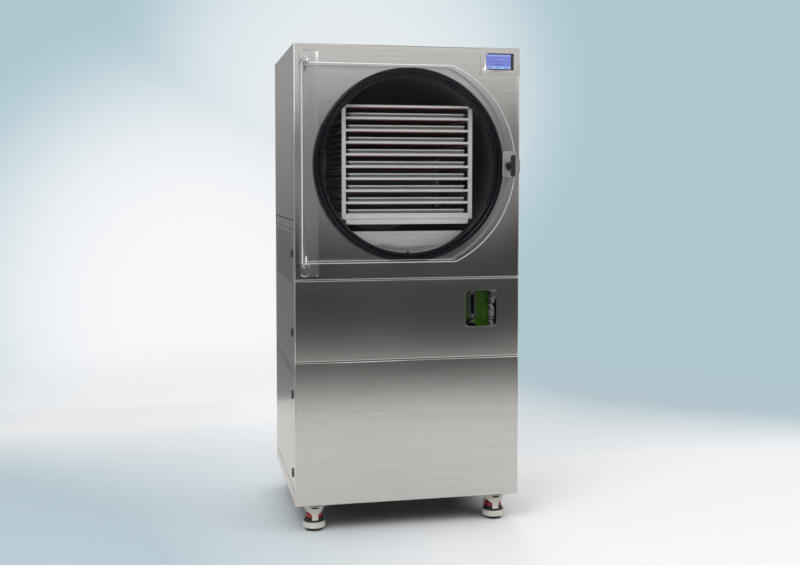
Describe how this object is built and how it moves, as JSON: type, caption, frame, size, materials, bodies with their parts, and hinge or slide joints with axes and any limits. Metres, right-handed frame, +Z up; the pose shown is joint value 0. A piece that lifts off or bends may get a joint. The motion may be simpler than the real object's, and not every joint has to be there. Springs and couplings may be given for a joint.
{
  "type": "freeze dryer",
  "caption": "Upright lab freeze dryer: round vacuum chamber with heated shelves and trays, hinged clear door, pump and cooling bays, levelling casters.",
  "frame": {"origin": "on the floor, under the middle of the whole machine with its door handle and drain spout", "axes": "+Z up, +X to the right seen from the front, +Y towards the back"},
  "size_m": [0.814, 0.8504, 1.7],
  "materials": {
    "frame_steel": "powder coated",
    "base_steel": "brushed",
    "panel_steel": "vertical brushed grain",
    "black_plastic": "moulded",
    "chamber_steel": "polished",
    "foam": "foamed",
    "gasket_rubber": "smooth moulded",
    "apron_steel": "satin",
    "rack_aluminium": "satin anodised",
    "shelf_aluminium": "satin",
    "heater_silicone": "smooth",
    "tray_steel": "satin pressed",
    "clear_door": "polished edges",
    "hinge_steel": "satin",
    "bright_steel": "polished",
    "latch_block": "satin",
    "screen_glass": "gloss",
    "pump_paint": "semi gloss",
    "sight_plate": "satin",
    "motor_aluminium": "cast, machined fins",
    "compressor_paint": "gloss",
    "condenser_aluminium": "mill finish",
    "fan_plastic": "moulded",
    "motor_black": "satin",
    "brass": "turned",
    "lever_paint": "dipped plastic",
    "switch_plastic": "moulded",
    "caster_zinc": "zinc",
    "caster_ivory": "semi gloss ivory",
    "dial_red": "moulded",
    "foot_rubber": "moulded",
    "wheel_nylon": "moulded"
  },
  "bodies": {
    "cabinet": {"cabinet_frame": "frame_steel", "base_pan": "base_steel", "pump_deck": "base_steel", "upper_shell": "panel_steel", "rear_panel": "panel_steel", "front_upper_panel": "panel_steel", "front_middle_panel": "panel_steel", "front_lower_panel": "panel_steel", "left_middle_panel": "panel_steel", "left_lower_panel": "panel_steel", "right_middle_panel": "panel_steel", "right_lower_panel": "panel_steel", "panel_fasteners": "black_plastic", "chamber_shell": "chamber_steel", "chamber_insulation": "foam", "chamber_gasket": "gasket_rubber", "lower_apron": "apron_steel", "rack_frame": "rack_aluminium", "shelves": "shelf_aluminium", "heater_pads": "heater_silicone", "trays": "tray_steel", "hinge_plate": "hinge_steel", "hinge_brackets": "hinge_steel", "hinge_pins": "bright_steel", "latch_keeper": "hinge_steel", "screen_bezel": "panel_steel", "touch_screen": "screen_glass", "vacuum_pump": "pump_paint", "pump_sight_plate": "sight_plate", "pump_motor": "motor_aluminium", "vacuum_hose": "gasket_rubber", "compressor": "compressor_paint", "condenser": "condenser_aluminium", "fan_motor": "motor_black", "drain_valve": "brass", "power_inlet": "black_plastic", "caster_plates": "caster_zinc"},
    "door": {"door_panel": "clear_door", "latch_block": "latch_block"},
    "latch": {"latch_handle": "black_plastic"},
    "fan": {"fan": "fan_plastic"},
    "drain_lever": {"drain_lever": "lever_paint"},
    "power_switch": {"power_switch": "switch_plastic"},
    "caster_front_left": {"caster_housing_front_left": "caster_ivory"},
    "dial_front_left": {"caster_dial_front_left": "dial_red"},
    "foot_front_left": {"caster_foot_front_left": "foot_rubber"},
    "wheel_front_left": {"caster_wheel_front_left": "wheel_nylon"},
    "caster_front_right": {"caster_housing_front_right": "caster_ivory"},
    "dial_front_right": {"caster_dial_front_right": "dial_red"},
    "foot_front_right": {"caster_foot_front_right": "foot_rubber"},
    "wheel_front_right": {"caster_wheel_front_right": "wheel_nylon"},
    "caster_rear_left": {"caster_housing_rear_left": "caster_ivory"},
    "dial_rear_left": {"caster_dial_rear_left": "dial_red"},
    "foot_rear_left": {"caster_foot_rear_left": "foot_rubber"},
    "wheel_rear_left": {"caster_wheel_rear_left": "wheel_nylon"},
    "caster_rear_right": {"caster_housing_rear_right": "caster_ivory"},
    "dial_rear_right": {"caster_dial_rear_right": "dial_red"},
    "foot_rear_right": {"caster_foot_rear_right": "foot_rubber"},
    "wheel_rear_right": {"caster_wheel_rear_right": "wheel_nylon"}
  },
  "joints": [
    {"name": "door_hinge", "type": "hinge", "parent": "cabinet", "child": "door", "pos_m": [-0.367, -0.35515, 1.285], "axis": [0, 0, -1], "range_deg": [0, 165]},
    {"name": "latch_turn", "type": "hinge", "parent": "door", "child": "latch", "pos_m": [0.347, -0.37985, 1.283], "axis": [0, 1, 0], "range_deg": [0, 90]},
    {"name": "fan_spin", "type": "hinge", "parent": "cabinet", "child": "fan", "pos_m": [0.15, 0.25015, 0.37], "axis": [0, 1, 0], "continuous": true},
    {"name": "drain_lever_turn", "type": "hinge", "parent": "cabinet", "child": "drain_lever", "pos_m": [0, 0.38215, 0.9113], "axis": [0, 0, 1], "range_deg": [0, 90]},
    {"name": "power_switch_rock", "type": "hinge", "parent": "cabinet", "child": "power_switch", "pos_m": [-0.19, 0.36265, 0.25], "axis": [1, 0, 0], "range_deg": [0, 16]},
    {"name": "swivel_front_left", "type": "hinge", "parent": "cabinet", "child": "caster_front_left", "pos_m": [-0.33, -0.25485, 0.08], "axis": [0, 0, 1], "continuous": true},
    {"name": "wheel_spin_front_left", "type": "hinge", "parent": "caster_front_left", "child": "wheel_front_left", "pos_m": [-0.33, -0.19985, 0.028], "axis": [1, 0, 0], "continuous": true},
    {"name": "foot_lift_front_left", "type": "slide", "parent": "caster_front_left", "child": "foot_front_left", "axis": [0, 0, 1], "range_m": [0, 0.01]},
    {"name": "dial_turn_front_left", "type": "hinge", "parent": "caster_front_left", "child": "dial_front_left", "pos_m": [-0.33, -0.25485, 0.052], "axis": [0, 0, 1], "range_deg": [0, 720]},
    {"name": "swivel_front_right", "type": "hinge", "parent": "cabinet", "child": "caster_front_right", "pos_m": [0.33, -0.25485, 0.08], "axis": [0, 0, 1], "continuous": true},
    {"name": "wheel_spin_front_right", "type": "hinge", "parent": "caster_front_right", "child": "wheel_front_right", "pos_m": [0.33, -0.19985, 0.028], "axis": [1, 0, 0], "continuous": true},
    {"name": "foot_lift_front_right", "type": "slide", "parent": "caster_front_right", "child": "foot_front_right", "axis": [0, 0, 1], "range_m": [0, 0.01]},
    {"name": "dial_turn_front_right", "type": "hinge", "parent": "caster_front_right", "child": "dial_front_right", "pos_m": [0.33, -0.25485, 0.052], "axis": [0, 0, 1], "range_deg": [0, 720]},
    {"name": "swivel_rear_left", "type": "hinge", "parent": "cabinet", "child": "caster_rear_left", "pos_m": [-0.33, 0.29815, 0.08], "axis": [0, 0, 1], "continuous": true},
    {"name": "wheel_spin_rear_left", "type": "hinge", "parent": "caster_rear_left", "child": "wheel_rear_left", "pos_m": [-0.33, 0.35315, 0.028], "axis": [1, 0, 0], "continuous": true},
    {"name": "foot_lift_rear_left", "type": "slide", "parent": "caster_rear_left", "child": "foot_rear_left", "axis": [0, 0, 1], "range_m": [0, 0.01]},
    {"name": "dial_turn_rear_left", "type": "hinge", "parent": "caster_rear_left", "child": "dial_rear_left", "pos_m": [-0.33, 0.29815, 0.052], "axis": [0, 0, 1], "range_deg": [0, 720]},
    {"name": "swivel_rear_right", "type": "hinge", "parent": "cabinet", "child": "caster_rear_right", "pos_m": [0.33, 0.29815, 0.08], "axis": [0, 0, 1], "continuous": true},
    {"name": "wheel_spin_rear_right", "type": "hinge", "parent": "caster_rear_right", "child": "wheel_rear_right", "pos_m": [0.33, 0.35315, 0.028], "axis": [1, 0, 0], "continuous": true},
    {"name": "foot_lift_rear_right", "type": "slide", "parent": "caster_rear_right", "child": "foot_rear_right", "axis": [0, 0, 1], "range_m": [0, 0.01]},
    {"name": "dial_turn_rear_right", "type": "hinge", "parent": "caster_rear_right", "child": "dial_rear_right", "pos_m": [0.33, 0.29815, 0.052], "axis": [0, 0, 1], "range_deg": [0, 720]}
  ],
  "couplings": [
    {"joint": "dial_turn_front_left", "follows": "foot_lift_front_left", "rad_per_m": 1256.5},
    {"joint": "dial_turn_front_right", "follows": "foot_lift_front_right", "rad_per_m": 1256.5},
    {"joint": "dial_turn_rear_left", "follows": "foot_lift_rear_left", "rad_per_m": 1256.5},
    {"joint": "dial_turn_rear_right", "follows": "foot_lift_rear_right", "rad_per_m": 1256.5}
  ]
}
